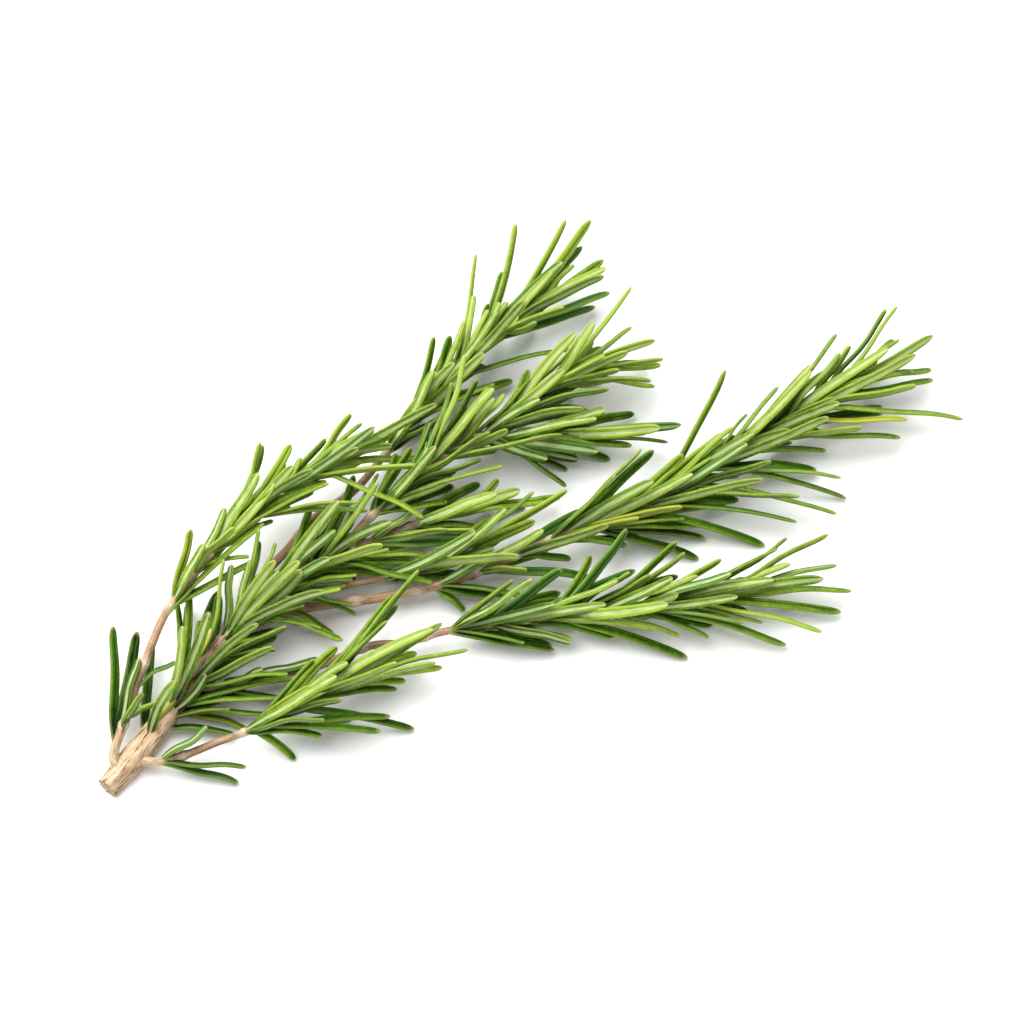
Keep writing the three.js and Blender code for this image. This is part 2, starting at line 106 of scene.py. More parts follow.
shoots = {
    "woody_stem": [{
        "route": [
            (-98.5, -73, 2.3), (-91, -64, 2.7), (-83, -53, 4.4), (-75, -42, 6.5), (-66.5, -32, 8),
            (-55, -22, 9), (-44, -17, 9.5), (-35, -12.5, 9.5), (-25, -8, 9), (-15, -4.5, 8.5),
        ],
        "radius": [2.5, 3.2, 2.5, 2, 1.8, 1.6, 1.4, 1.2, 1, 0.9],
        "from": 16, "gap": 7, "open": (36, 18), "seed": 3, "fill": (24, 74),
        "leaves": [
            (-87, -74.5, -37, 12), (-73, -59, -23, 14), (-65.5, -46, -12.5, 13.5), (-80, -80, -26, 9.5),
            (-80.5, -83.5, -26.5, 8.5), (-77, -73, -31, 10), (-74, -59, -33, 2.5), (-84.5, -70, -55.5, 8),
            (-84, -59, -55, 3), (-83.5, -66, -58, 1.5), (-86, -69, -59.5, 2.5), (-37, -20, -12, 12.5),
            (-38, -14, -11, 5), (-21, 6.5, 0, 5), (-24, -3, -0.5, 10), (-71, -53, -31, 12),
            (-74, -58.5, -35.5, 9), (-77, -57, -37, 13.5), (-75, -59.5, -41.5, 10.5), (-80, -56.5, -48, 11),
            (-82, -55, -47, 6.5), (-84, -75.5, -48, 11), (-82.5, -54, -52, 5.5), (-79, -77.5, -33, 8),
            (-76, -66.5, -28.5, 6), (-64, -43.5, -25.5, 11), (-58, -42, -23, 8.5), (-69, -63.5, -15, 14),
            (-66, -60, -15.5, 13), (-60, -52, -5, 10), (-57, -47.5, -4, 8.5), (-52, -42, 4.5, 7.5),
            (-50, -33, -11, 10.5), (-47, -23.5, -24, 9), (-43, -20.5, -16, 6.5), (-33, -13.5, -12, 10.5),
            (-59, -41, -31, 6.5), (-60, -41.5, -30.5, 9), (-66, -49, -37, 12), (-62, -46.5, -35, 4.5),
            (-66, -44, -40, 6),
        ],
    }],
    "left_shoot": [{
        "route": [
            (-96.6, -65.2, 5), (-94, -57, 6.5), (-92, -50, 8), (-90, -45, 9.5), (-85, -33, 12.5),
            (-79, -25, 14.5), (-72, -15.5, 16), (-64, -7.5, 16.5), (-55, -1, 16), (-45, 5.5, 15),
        ],
        "radius": [1.1, 0.9, 0.6],
        "from": 38, "gap": 8, "open": (22, 11), "seed": 7, "fill": (52, 200),
        "leaves": [
            (-96.1, -97.5, -34.5, 8), (-96, -92, -35, 6), (-95.5, -91, -44, 11), (-95, -90, -52, 9),
            (-94, -87.5, -54.5, 9), (-92, -82.5, -45.5, 11), (-85.5, -62.5, -12.5, 19), (-84, -65, -20, 12),
            (-77, -66, -19.5, 15.5), (-55, -26.5, 2, 18), (-72, -47.5, -3, 19), (-68, -41, -8, 19),
            (-51, -25.5, -10, 14.5), (-70, -56, 1, 20), (-60, -40, 13.5, 17), (-54, -22.5, 19.5, 15),
            (-52, -32, 13.5, 13), (-50, -33, 8, 16.5), (-62, -54, 3.5, 19), (-68, -38.5, -8, 13),
        ],
    }],
    "top_shoot": [{
        "route": [
            (-66.9, -27.9, 8), (-63, -21, 6.5), (-57, -13, 5), (-51, -5, 4.5), (-42, 2, 4.5),
            (-35.5, 10.5, 4.5), (-30, 18, 5), (-25, 23.5, 6), (-19, 30, 7), (-13.5, 37.5, 8), (-8, 41, 8.5),
            (-2.5, 45, 9),
        ],
        "radius": [1.1, 0.9, 0.6],
        "from": 60, "gap": 8, "open": (22, 11), "seed": 11, "fill": (52, 104),
        "leaves": [
            (-19, -13.5, 61, 12), (-18, -14, 49, 13.5), (-17, -10.5, 48.5, 10), (-12, -4, 68.5, 13),
            (-8, 8, 69.5, 13), (-5, 14, 71, 10), (-8, 12, 65.5, 7), (-6, 17, 60, 10.5), (-10, 17.5, 56, 14),
            (-7, 18.5, 52.5, 8), (-11, 15, 52, 1.5), (-11, 1, 43, 11), (-19, 11, 38, 7),
            (-27, -19.5, 40.5, 9), (-12, -6, 47.5, 13), (-66.5, -64, -13.5, 11), (-3, 10, 58, 12),
            (-4, 7.5, 60, 8),
        ],
    }],
    "centre_shoot": [{
        "route": [
            (-42, -13.2, 10.3), (-38, -8, 11), (-32, -3, 11.5), (-26.5, 3.5, 11.5), (-19.5, 9, 11.5),
            (-12.5, 13, 11), (-7, 17, 11), (1, 24, 11), (8, 28.5, 11), (13.5, 31, 11),
        ],
        "radius": [1, 0.8, 0.6],
        "from": 12, "gap": 8, "open": (24, 12), "seed": 19, "fill": (8, 66),
        "leaves": [
            (-27, -19, 23.5, 17), (-26, -13, 27, 13), (-23, -10.5, 23.5, 15.5), (-19, -9, 20, 17),
            (-31, -24, 15, 14), (-33, -7, 3.5, 14.5), (-26, 7, 12, 14), (-10, 12, 18, 15.5),
            (-5, 11.5, 38.5, 13), (3, 23.5, 41, 12.5), (4, 29, 36.5, 14.5), (1, 22.5, 32.5, 16.5),
            (8, 31, 33, 11.5), (5, 28, 27, 12), (0, 20.5, 28.5, 15), (6, 29, 27.5, 8), (-6, 18, 23, 16),
            (7, 30.5, 33.5, 7.5), (-29, -24.5, 10.5, 13), (-29, -19.5, 13, 13), (-25, -13.5, 18, 14),
            (-21, -11.5, 19, 10.5), (-38, -32, 8.5, 11), (-37, -28.5, 9.5, 12),
        ],
    }, {
        "route": [
            (-12.5, 13, 11), (-5, 13, 8.5), (3, 15, 7.5), (11, 16, 7.5),
        ],
        "radius": [0.8, 0.55],
        "from": 4, "gap": 7, "open": (22, 11), "seed": 23, "fill": (4, 18),
        "leaves": [
            (-10, 15.5, 9, 11), (-12, 11, 10, 4.5), (-12.4, 3.5, 7.5, 10), (5, 35, 16, 11),
            (4, 30, 14, 13.5), (3, 27, 15.5, 7.5), (2, 32, 14.5, 4.5),
        ],
    }],
    "inner_shoot": [{
        "route": [
            (-54.9, -24.6, 7.1), (-48, -24, 5.5), (-41, -22.5, 5.5), (-33, -21, 6), (-24, -19.5, 7.5),
            (-15, -15.5, 9), (-8, -11, 9.5),
        ],
        "radius": [0.9, 0.7, 0.55],
        "from": 22, "gap": 7, "open": (22, 11), "seed": 29, "fill": (20, 40),
        "leaves": [
            (-16, 8, -2, 13), (-22, 0.5, -9, 11), (-28, -9, -16.5, 12),
        ],
    }],
    "right_shoot": [{
        "route": [
            (-62.6, -32.3, 6.6), (-55, -29, 5), (-48, -27.5, 4.5), (-37, -26, 4.5), (-21.5, -23, 6),
            (-12.5, -20, 7), (-3, -16, 8), (9, -10.5, 8.5), (18, -7.5, 8.5), (28, -3.5, 8.5),
            (39, 4.5, 8.5), (51, 12.5, 8.5), (63.5, 20.5, 9), (74.5, 28, 9), (79, 31, 9),
        ],
        "radius": [1.25, 0.9, 0.6],
        "from": 42, "gap": 9, "open": (22, 11), "seed": 31, "fill": (74, 148),
        "leaves": [
            (-13, 2.5, -13, 14.5), (-12, 3.5, -13, 3), (-21, 0, -27.5, 8), (-23, -5.5, -24, 3),
            (-23, -16, -28, 2), (-12, 13.5, -20.5, 4), (5, 25.5, 9, 12.5), (8, 28.5, 10.5, 8.5),
            (27, 45.5, 29, 14), (24, 47, 13, 16), (22, 45, 14, 10.5), (9, 37.5, 1.5, 14.5),
            (24, 54, 0.5, 13.5), (9, 35, -6, 12.5), (10, 35.5, -7.5, 9), (13, 41, -6.5, 4.5),
            (10, 40.5, -9, 1.5), (29, 62.5, -2.5, 10.5), (28, 62, -7, 6), (35, 71.5, -4, 4),
            (40, 72.5, 3.5, 8), (42, 74, 1.5, 1), (41, 67, 8, 3), (46, 69.5, 13, 3), (53, 87, 15, 6),
            (64, 102, 20.5, 4.5), (58, 88.5, 18, 9.5), (50, 77.5, 14.5, 12.5), (39, 69.5, 15.5, 16),
            (52, 72, 38.5, 14), (50, 66, 29.5, 15.5), (67, 84, 45.5, 13), (66, 95, 39.5, 11),
            (60, 90.5, 32.5, 15), (67, 95, 29.5, 7.5), (64, 90.5, 25.5, 12.5), (12, 39, -14, 0.6),
            (24, 54.5, -10.5, 0.6), (-60, -48, -34, 2), (56, 87, 38, 12), (58, 84, 34, 15),
            (46, 62, 24, 15), (33, 52, 12, 15), (30, 56, 6, 12), (18, 42, 6, 14),
        ],
    }],
    "low_right_shoot": [{
        "route": [
            (-75.1, -48.2, 4.8), (-66.5, -47, 4), (-55, -44.5, 4), (-46.5, -41.5, 4), (-38, -38, 4.5),
            (-30, -37.5, 5), (-21.5, -35, 5.5), (-12.5, -33.5, 6), (-3, -32.5, 6.5), (7, -31.5, 7),
            (17.5, -30.5, 7.5), (27.5, -29, 7.5), (37.5, -27.5, 7.5), (47.5, -25, 7.5),
        ],
        "radius": [1.15, 0.9, 0.6],
        "from": 58, "gap": 9, "open": (22, 11), "seed": 37, "fill": (58, 118),
        "leaves": [
            (-11, 17, -31, 12.5), (13, 33.5, -15, 12.5), (11, 27.5, -23, 11.5), (18, 47.5, -29.5, 13.5),
            (31, 57, -17, 13), (24, 44, -17.5, 8), (43, 69, -12, 10), (41, 71, -19, 8),
            (38, 67.5, -24.5, 12.5), (42, 74.5, -24, 4.5), (40, 72, -28.5, 2.5), (35, 67, -36.5, 9),
            (22, 49, -34, 8.5), (27, 59, -37, 2.5), (1, 28.5, -36, 9.5), (5, 36, -39.5, 1),
            (-20, 5, -38, 2), (-14, 6.5, -23.5, 4), (3, 20, -23, 9.5), (5, 22, -11, 5),
            (4, 13.5, -16.5, 6.5), (-74, -55, -51, 2.5), (-68, -49.5, -43, 8), (-72, -62.5, -45.5, 8),
            (-70, -50, -40.5, 3), (-2, 24, -18, 3), (10, 34, -20, 4), (34, 60, -20, 11), (30, 56, -25, 13),
            (24, 50, -24, 11),
        ],
    }],
    "short_shoot": [{
        "route": [
            (-87.5, -67, 4), (-80.5, -65.5, 4.5), (-73, -63, 6), (-66, -60.5, 7), (-58, -56, 8),
            (-51, -52.5, 8.5), (-43, -47.5, 9),
        ],
        "radius": [1.05, 0.8, 0.6],
        "from": 24, "gap": 8, "open": (24, 12), "seed": 41, "fill": (22, 44),
        "leaves": [
            (-55, -33, -27.5, 9.5), (-49, -26.5, -22, 12), (-50, -21, -36, 13), (-52, -23, -38.5, 15.5),
            (-48, -15, -42, 11.5), (-51, -22.5, -46, 13), (-46, -21, -45, 8), (-52, -31.5, -48.5, 3.5),
            (-62, -44, -55, 12.5), (-64, -33, -56, 5), (-56, -27.5, -57.5, 1), (-64, -35, -61.5, 9),
            (-86, -66, -68.5, 4.5), (-65, -55, -65, 0.6), (-86, -75, -60.5, 9.5), (-86.5, -68, -71, 1),
            (-47, -29.5, -47.5, 6), (-45, -27, -40, 5), (-49, -31.5, -29.5, 9),
        ],
    }],
}


def mix(a, b, t):
    return a + (b - a) * t


def unit(v):
    return v / np.linalg.norm(v)


drawFactors = (12.9898, 78.233, 43758.5453)  # large and uneven, and the same as the solids have


def makeDraw(seed):
    count = 0

    def draw():
        nonlocal count
        count += 1
        bySeed, byCount, spread = drawFactors
        value = math.sin(seed * bySeed + count * byCount) * spread
        return value - math.floor(value)

    return draw


def runThrough(route, steps):  # smooth line through the route's points
    route = [np.array(p, float) for p in route]
    ends = [2 * route[0] - route[1]] + route + [2 * route[-1] - route[-2]]
    points = []
    for i in range(len(route) - 1):
        a, b, c, d = ends[i:i + 4]
        for k in range(steps):
            t = k / steps
            points.append(0.5 * (2 * b + (c - a) * t + (2 * a - 5 * b + 4 * c - d) * t ** 2
                                 + (3 * b - a - 3 * c + d) * t ** 3))
    points.append(route[-1])
    points = np.array(points)
    stations = np.concatenate([[0], np.cumsum(np.linalg.norm(np.diff(points, axis=0), axis=1))])
    return points, stations


def placeOnStem(stem, values, number):
    points, stations = stem["points"], stem["stations"]
    i = 1
    while i < len(values) - 1 and values[i] < number:
        i += 1
    share = min(1, max(0, (number - values[i - 1]) / (values[i] - values[i - 1])))
    station = mix(stations[i - 1], stations[i], share)
    along = unit(points[i] - points[i - 1])
    run = station / stations[-1]
    return {"point": mix(points[i - 1], points[i], share), "along": along,
            "share": run, "radius": stemRadius(stem, run)}


def stemRadius(stem, run):
    radii = stem["radius"]
    return np.interp(run, np.linspace(0, 1, len(radii)), radii)


def makeLeaf(place, tip, twist):
    along = place["along"]
    out = tip - place["point"]
    out = unit(out - along * np.dot(out, along))
    root = place["point"] + out * max(0, place["radius"] - sprig["rootSink"])
    length = np.linalg.norm(tip - root)
    control = root + unit(unit(tip - root) + along * sprig["rootLean"]) * length * sprig["halfWay"]
    control = control + up * length * sprig["leafArch"]
    return {"line": np.array([root, control, tip]), "out": out, "along": along,
            "length": length, "twist": twist, "share": place["share"]}


def tracedLeaves(stem):
    for startX, *tip in stem["leaves"]:
        yield makeLeaf(placeOnStem(stem, stem["points"][:, 0], startX), np.array(tip, float), 0)


def ruleLeaves(stem, stage):
    rule = leafRule
    draw = makeDraw(stem["seed"] + stage["seed"])
    stemEnd = stem["stations"][-1]
    station, end = stem["fill"] if stage["leaves"] == "fill" else (stem["from"], stemEnd)
    turn = stage["seed"]
    while station < min(end, stemEnd):
        place = placeOnStem(stem, stem["stations"], station)
        along = place["along"]
        side = unit(np.cross(up, along))
        lift = np.cross(along, side)
        for aside, size in rule["joint"]:
            turned = math.radians(turn + aside + (draw() - 0.5) * rule["strayRound"])
            opened = mix(*stem["open"], place["share"]) + (draw() - 0.5) * rule["strayOpen"]
            opened = math.radians(opened * stage["spread"])
            length = sprig["leafLength"] * size * (rule["lengthFrom"] + draw() * rule["lengthSpread"])
            length *= stage["size"]
            out = side * math.cos(turned) + lift * math.sin(turned)
            tip = (place["point"] + along * math.cos(opened) * length
                   + out * (math.sin(opened) * length + place["radius"]))
            yield makeLeaf(place, tip, draw() - 0.5)
        station += stem["gap"] * mix(*rule["gapShares"], place["share"])
        turn += rule["turn"]


def curvePoint(line, t):
    t = np.asarray(t)[..., None]
    return line[0] * (1 - t) ** 2 + line[1] * 2 * t * (1 - t) + line[2] * t ** 2


def clearLine(leaf, line):  # the points at which a leaf is kept clear, and which of them are near its root
    shares = np.arange(sprig["clearPoints"]) / (sprig["clearPoints"] - 1)
    return curvePoint(line, shares), shares * leaf["length"] < sprig["freeRoot"]


class Space:  # what is full already, as points with their shoot and how far round them is full
    def __init__(self):
        self.points = np.zeros((0, 3))
        self.facts = np.zeros((0, 4))

    def fill(self, points, shoot, radii, isStem, nearRoot):
        rows = np.column_stack([np.full(len(points), shoot), radii, np.full(len(points), isStem), nearRoot])
        self.points = np.vstack([self.points, points])
        self.facts = np.vstack([self.facts, rows])

    def isClear(self, leaf, shoot, within, between):
        line, nearRoot = clearLine(leaf, leaf["line"])
        reach = np.ptp(line, axis=0) / 2 + sprig["clearReach"]
        near = np.all(np.abs(self.points - line.mean(axis=0)) < reach, axis=1)
        apart = np.linalg.norm(line[:, None] - self.points[near][None], axis=2)
        facts = self.facts[near]
        own = facts[:, 0] == shoot
        gap = np.where(own, within, between + facts[:, 1])
        free = own & ((facts[:, 2] > 0) | (facts[:, 3] > 0))
        ignored = free[None] | (own[None] & nearRoot[:, None])
        return bool(np.all((apart >= gap[None]) | ignored))


def placeLeaf(leaf, shoot, space, gaps):  # bent up or down until it is clear of what is there, or left out
    for lift in sprig["bends"]:
        line = leaf["line"].copy()
        line[2, 2] = max(sprig["lowestLeaf"], line[2, 2] + lift)
        line[1, 2] = max(sprig["lowestLeaf"], line[1, 2] + lift * sprig["halfWay"])
        bent = {**leaf, "line": line}
        if space.isClear(bent, shoot, *gaps):
            points, nearRoot = clearLine(leaf, line)
            space.fill(points, shoot, np.zeros(len(points)), 0, nearRoot)
            return bent
    return None


def layOut():
    space = Space()
    placed = [[] for _ in shoots]
    left = [[] for _ in shoots]
    for shoot, stems in enumerate(shoots.values()):
        for stem in stems:
            stem["points"], stem["stations"] = runThrough(stem["route"], sprig["stepsPerSpan"])
            run = stem["stations"] / stem["stations"][-1]
            radii = stemRadius(stem, run) - sprig["stemEase"]
            space.fill(stem["points"], shoot, radii, 1, np.zeros(len(run)))
            left[shoot] += tracedLeaves(stem)
    for stage in rounds:
        for shoot, stems in enumerate(shoots.values()):
            leaves = left[shoot]
            if stage["leaves"] != "traced":
                leaves = [leaf for stem in stems for leaf in ruleLeaves(stem, stage)]
            fits = [placeLeaf(leaf, shoot, space, (stage["within"], stage["between"])) for leaf in leaves]
            placed[shoot] += [fit for fit in fits if fit]
            if stage["leaves"] == "traced":
                left[shoot] = [leaf for leaf, fit in zip(leaves, fits) if not fit]
        print("laid out", [len(leaves) for leaves in placed], "leaves")
    return placed


placed = layOut()

# A leaf's section from the middle of its upper side, round its rolled edge, to the middle of its underside:
# shares of its half width and half thickness, and how much pale felt covers each point. Leaves are nearly
# even in width, with a narrow foot and a blunt tip, and each bows, curls and twists a little by a draw.
# Stations and runs are shares of a leaf's length, and bow, curl, lowest and lightTop are in millimetres.
leafShape = {
    "section": [
        (0.00, 0.50, 0), (0.10, 0.70, 0), (0.30, 0.97, 0), (0.58, 0.94, 0), (0.84, 0.62, 0),
        (0.99, 0.08, 0), (0.98, -0.44, 0), (0.86, -0.84, 0), (0.66, -1.00, 0), (0.47, -0.92, 0),
        (0.34, -0.66, 0.45), (0.19, -0.44, 1), (0.00, -0.56, 0.9),
    ],
    "stations": [0, 0.04, 0.1, 0.18, 0.28, 0.38, 0.48, 0.58, 0.68, 0.77, 0.85, 0.91, 0.95, 0.978, 0.993],
    "footWidth": 0.45,
    "footRun": 0.2,
    "footCurve": 0.8,
    "narrowFrom": 0.45,
    "narrowBy": 0.2,
    "narrowCurve": 1.5,
    "tipRun": 0.12,
    "edgeThickness": 0.75,
    "tipThin": 2.0,
    "patternSpread": 1000.0,
    "width": (0.86, 1.08),
    "thickness": (0.85, 1.05),
    "shortLeaf": 20.0,
    "shortWidth": 0.8,
    "bow": 1.1,
    "curl": 0.6,
    "curlTurns": 1.1,
    "twist": 0.7,
    "lowest": 0.02,
    # lightTop, lightShare, shadeFoot and shadeRun set the painted shade: leaves are painted darker low down
    # and at their feet, and paler higher up
    "lightTop": 15.0,
    "lightShare": 0.5,
    "shadeFoot": 0.48,
    "shadeRun": 0.4,
    "seedStep": 100,
}


def leafWidthShare(t):
    s = leafShape
    foot = mix(s["footWidth"], 1, min(1, t / s["footRun"]) ** s["footCurve"])
    outward = max(0, t - s["narrowFrom"]) / (1 - s["narrowFrom"])
    narrow = 1 - s["narrowBy"] * outward ** s["narrowCurve"]
    toTip = max(0, (t - 1 + s["tipRun"]) / s["tipRun"])
    return foot * narrow * math.sqrt(1 - toTip ** 2)


def leafFace(leaf, along):  # the dark upper side looks along the stem, or to the light beside and under it
    light = min(1, max(0, sprig["lightFrom"] - leaf["out"][2])) * sprig["lightPull"]
    face = leaf["along"] * sprig["faceLean"] - leaf["out"] + up * light
    face = unit(face - along * np.dot(face, along))
    return turnAbout(face, along, leaf["twist"] * sprig["faceTwist"])


def turnAbout(v, axis, angle):
    return (v * math.cos(angle) + np.cross(axis, v) * math.sin(angle)
            + axis * np.dot(axis, v) * (1 - math.cos(angle)))


def leafMesh(leaf, draw):
    s = leafShape
    half = s["section"]
    section = np.array(half + [(-x, y, felt) for x, y, felt in half[-2:0:-1]])
    count = len(section)
    line = leaf["line"]
    bow = (draw() * 2 - 1) * s["bow"]
    curl = (draw() * 2 - 1) * s["curl"]
    phase = draw() * 2 * math.pi
    twist = (draw() - 0.5) * s["twist"]
    short = mix(s["shortWidth"], 1, min(1, leaf["length"] / s["shortLeaf"]))
    wide = sprig["leafWidth"] * mix(*s["width"], draw()) * short / 2
    thick = sprig["leafThickness"] * mix(*s["thickness"], draw()) / 2
    patternStart, shade, odd = draw() * s["patternSpread"], draw(), draw()

    rings, places, blades = [], [], []
    for t in s["stations"]:
        along = unit(2 * (1 - t) * (line[1] - line[0]) + 2 * t * (line[2] - line[1]))
        face = turnAbout(leafFace(leaf, along), along, twist * t)
        side = np.cross(face, along)
        calm = math.sin(math.pi * t)
        centre = (curvePoint(line, t) + side * bow * calm
                  + face * curl * calm * math.sin(2 * math.pi * s["curlTurns"] * t + phase))
        share = leafWidthShare(t)
        deep = thick * mix(s["edgeThickness"], 1, share) * min(1, share * s["tipThin"])
        ring = centre + np.outer(section[:, 0] * wide * share, side) + np.outer(section[:, 1] * deep, face)
        ring[:, 2] = np.maximum(ring[:, 2], s["lowest"])
        rings.append(ring)
        places.append(np.column_stack([section[:, 0], np.full(count, t), section[:, 2]]))
        blades.append(np.column_stack([section[:, 0] * wide, section[:, 1] * deep,
                                       np.full(count, t * leaf["length"] + patternStart)]))
    vertices = np.vstack(rings + [line[2:]])
    place = np.vstack(places + [[0, 1, 0]])
    blade = np.vstack(blades + [[0, 0, leaf["length"] + patternStart]])
    faces = bandFaces(len(rings), count)
    last = (len(rings) - 1) * count
    faces += [[last + k, last + (k + 1) % count, last + count] for k in range(count)]
    faces.append(list(range(count))[::-1])
    # painted shade and light: each leaf's tone is darkened low down and at its foot among the stems, and
    # lightened higher up
    height = np.minimum(1, vertices[:, 2] / s["lightTop"])
    outward = np.minimum(1, place[:, 1] / s["shadeRun"])
    light = mix(shade, height, s["lightShare"]) - s["shadeFoot"] * (1 - outward)
    toneAndShade = np.column_stack([light, np.full(len(light), odd), np.full(len(light), leaf["share"])])
    return vertices, faces, {"leafPlace": place, "leafBlade": blade, "leafTone": toneAndShade}


def bandFaces(rings, count):  # the faces between rings of count points each
    return [[r + k, r + (k + 1) % count, r + count + (k + 1) % count, r + count + k]
            for r in range(0, (rings - 1) * count, count) for k in range(count)]


def joinMeshes(name, parts):
    vertices, faces, marks = [], [], {}
    offset = 0
    for partVertices, partFaces, partMarks in parts:
        vertices.append(partVertices)
        faces += [[i + offset for i in face] for face in partFaces]
        for key, values in partMarks.items():
            marks.setdefault(key, []).append(values)
        offset += len(partVertices)
    points = np.vstack(vertices) + np.array([*sprig["shift"], 0])
    mesh = bpy.data.meshes.new(name)
    mesh.from_pydata((points * mm).tolist(), [], faces)
    for key, values in marks.items():
        mark = mesh.attributes.new(key, "FLOAT_VECTOR", "POINT")
        mark.data.foreach_set("vector", np.vstack(values).astype(np.float32).ravel())
    mesh.shade_smooth()
    piece = bpy.data.objects.new(name, mesh)
    bpy.context.scene.collection.objects.link(piece)
    return piece


# Stems: joints swell a little where leaves grow or grew, bark runs in ridges on the thick one, and the
# foot of a shoot widens into the stem that it grows from. Waves are turns round, share and run along.
# Gaps, runs and leads are in millimetres, and swells, ridges and the collar are shares of the radius.
stemShape = {
    "sides": 32,
    "ringsPerSpan": 24,
    "inside": 0.97,
    "mostSwell": 1.3,
    "firstJoint": 7.0,
    "bareGap": 15.0,
    "jointSwell": 0.3,
    "barkSwell": 0.4,
    "jointRun": 1.0,
    "dustRun": 1.8,
    "barkRadius": (0.9, 2.2),
    "square": 0.05,
    "ridge": 0.11,
    "youngRidge": 0.35,
    "waves": ((3, 0.45, 9.0), (7, 0.3, 4.0), (12, 0.25, 1.6)),
    "waveDrift": 1.5,
    "footLead": 2.0,
    "collar": 0.8,
    "collarRun": 2.5,
    "paleRun": 6.0,
    "cutRings": (0.2, 0.4, 0.6, 0.8, 0.96),
    "cutRough": 0.85,
    "cutGrain": 12.0,
    "tipRings": ((0.75, 0.4), (0.35, 0.65)),
}


def wobble(angle, station, seed):  # smooth, seeded unevenness from a few waves round and along the stem
    total = 0
    for turns, share, run in stemShape["waves"]:
        drift = stemShape["waveDrift"] * math.sin(station / run + seed)
        total += share * math.sin(angle * turns + seed * turns + drift)
    return total


def stemJoints(stem):
    joints = []
    station = stemShape["firstJoint"]
    end = stem["stations"][-1]
    while station < end:
        joints.append(station)
        leafy = station >= stem["from"]
        station += stem["gap"] * mix(*leafRule["gapShares"], station / end) if leafy else stemShape["bareGap"]
    return np.array(joints)


def grownRun(stem, parent):  # the stem's points, led back at its foot into the stem that it grows from
    steps = stemShape["ringsPerSpan"]
    if parent is None:
        return runThrough(stem["route"], steps)
    foot, second = np.array(stem["route"][:2], float)
    lead = foot - unit(second - foot) * stemShape["footLead"]
    trunk, _ = runThrough(parent["route"], steps)
    base = trunk[np.argmin(np.linalg.norm(trunk - lead, axis=1))]
    points, stations = runThrough([base] + stem["route"], steps)
    return points, stations - stations[steps]


def stemMesh(stem, parent):
    s = stemShape
    points, stations = grownRun(stem, parent)
    joints = stemJoints(stem)
    angles = np.arange(s["sides"]) * 2 * math.pi / s["sides"]
    rings, grains, places = [], [], []
    for i, (point, station) in enumerate(zip(points, stations)):
        along = unit(points[min(i + 1, len(points) - 1)] - points[max(i - 1, 0)])
        side = unit(np.cross(up, along))
        lift = np.cross(along, side)
        run = max(0, station / stations[-1])
        radius = stemRadius(stem, run)
        bark = float(np.interp(radius, s["barkRadius"], (0, 1)))
        joint = np.exp(-((station - joints) / s["jointRun"]) ** 2).sum()
        swell = 1 + s["jointSwell"] * mix(1, s["barkSwell"], bark) * joint
        collar, pale = 0, 0
        if parent is not None:
            collar = s["collar"] * math.exp(-(station - stations[0]) / s["collarRun"])
            pale = float(np.interp(station, (0, s["paleRun"]), (1, 0)))
        ring = []
        for angle in angles:
            square = s["square"] * math.cos(4 * angle) * (1 - bark)  # young stems are nearly square
            ridge = s["ridge"] * wobble(angle, station, stem["seed"]) * (s["youngRidge"] + bark)
            reach = radius * (min(s["mostSwell"], swell + square + ridge) + collar) * s["inside"]
            ring.append(point + side * math.cos(angle) * reach + lift * math.sin(angle) * reach)
        ring = np.array(ring)
        ring[:, 2] = np.maximum(ring[:, 2], 0)
        rings.append(ring)
        grains.append(np.column_stack([np.cos(angles) * radius, np.sin(angles) * radius,
                                       np.full(s["sides"], station)]))
        dust = min(1, np.exp(-((station - joints) / s["dustRun"]) ** 2).sum())
        places.append(np.tile([run, dust, pale], (s["sides"], 1)))
    return closeStem(rings, grains, places, points, stem)


def closeStem(rings, grains, places, points, stem):  # a torn cut at the foot and a rounded tip
    s = stemShape
    angles = np.arange(s["sides"]) * 2 * math.pi / s["sides"]
    along = unit(points[1] - points[0])
    torn = s["cutRough"] * stem["radius"][0]
    cutRings, cutGrains, cutPlaces = [], [], []
    for share in s["cutRings"]:
        rough = [abs(wobble(angle, share * s["cutGrain"], stem["seed"])) for angle in angles]
        ring = points[0] + (rings[0] - points[0]) * share
        cutRings.append(ring + np.outer(rough, along) * torn * share)
        cutGrains.append(grains[0] * np.array([share, share, 1]))
        cutPlaces.append(np.tile([share, 0, 1], (s["sides"], 1)))
    rough = [abs(wobble(angle, s["cutGrain"], stem["seed"])) for angle in angles]
    rings[0] = rings[0] + np.outer(rough, along) * torn
    rings = cutRings + rings
    grains = cutGrains + grains
    places = cutPlaces + places
    last = rings[-1]
    ahead = unit(points[-1] - points[-2])
    for share, step in s["tipRings"]:
        rings.append(points[-1] + (last - points[-1]) * share + ahead * step * stem["radius"][-1])
        grains.append(grains[-1])
        places.append(places[-1])
    faces = bandFaces(len(rings), s["sides"])
    faces.append(list(range(s["sides"]))[::-1])
    faces.append([(len(rings) - 1) * s["sides"] + k for k in range(s["sides"])])
    return np.vstack(rings), faces, {"stemGrain": np.vstack(grains), "stemPlace": np.vstack(places)}


# One function turns the hex colours to linear
def linear(hexColour):
    channels = [int(hexColour[i:i + 2], 16) / 255 for i in (1, 3, 5)]
    return [c / 12.92 if c <= 0.04045 else ((c + 0.055) / 1.055) ** 2.4 for c in channels] + [1.0]


def perMm(size):  # a pattern's scale in 1/mm, for texture coordinates in mm
    return 1 / size


